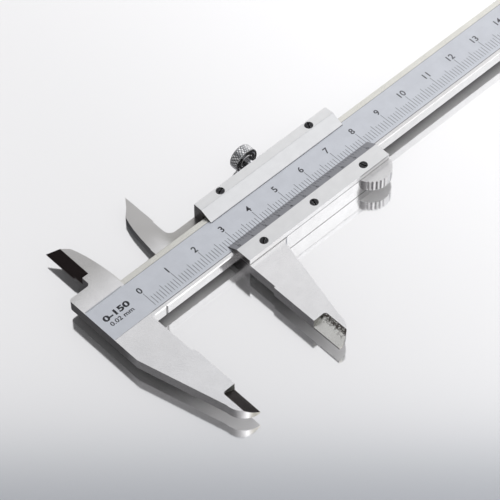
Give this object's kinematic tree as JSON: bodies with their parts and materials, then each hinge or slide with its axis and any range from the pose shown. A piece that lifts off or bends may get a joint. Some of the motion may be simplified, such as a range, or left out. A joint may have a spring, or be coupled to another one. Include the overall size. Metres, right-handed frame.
{
  "type": "vernier caliper",
  "caption": "Vernier caliper with outside and inside jaws, sliding vernier, knurled lock screw and a depth rod in the beam's back.",
  "frame": {"origin": "where the plane of the fixed outside measuring face crosses the beam's lower edge, in the middle of the beam's thickness", "axes": "+X along the beam from the fixed jaw to the tail, +Y towards the inside jaws, +Z out of the graduated face"},
  "size_m": [0.2551, 0.0773, 0.0084],
  "materials": {
    "beam_steel": "satin chrome scale face with ground edges",
    "slider_steel": "fine ground",
    "plate_steel": "satin chrome",
    "black_oxide": "black oxide, slightly glossy",
    "spring_bronze": "rolled",
    "chrome": "polished",
    "rod_steel": "ground",
    "graduations": "dark etched lines and numerals"
  },
  "bodies": {
    "beam": {"main_beam": "beam_steel", "tail_stop": "rod_steel", "tail_screw_upper": "black_oxide", "tail_screw_lower": "black_oxide"},
    "slider": {"slider_body": "slider_steel", "upper_guide_plate": "plate_steel", "vernier_plate": "plate_steel", "upper_screw_front": "black_oxide", "upper_screw_rear": "black_oxide", "vernier_screw_front": "black_oxide", "vernier_screw_middle": "black_oxide", "vernier_screw_rear": "black_oxide", "gib_spring": "spring_bronze", "gib_set_screw_front": "black_oxide", "gib_set_screw_rear": "black_oxide", "depth_rod": "rod_steel", "depth_rod_pin_front": "rod_steel", "depth_rod_pin_rear": "rod_steel"},
    "lock_stud": {"lock_stud": "chrome"},
    "lock_knob": {"lock_knob": "chrome"}
  },
  "joints": [
    {"name": "slider_slide", "type": "slide", "parent": "beam", "child": "slider", "axis": [1, 0, 0], "range_m": [-0.02878, 0.1212]},
    {"name": "lock_advance", "type": "slide", "parent": "slider", "child": "lock_stud", "axis": [0, 1, 0], "range_m": [-0.0004, 0.00045]},
    {"name": "lock_turn", "type": "hinge", "parent": "lock_stud", "child": "lock_knob", "pos_m": [0.05475, 0.0224, 0], "axis": [0, 1, 0], "range_deg": [-320.5, 360.5]}
  ],
  "couplings": [
    {"joint": "lock_turn", "follows": "lock_advance", "rad_per_m": 13963}
  ]
}
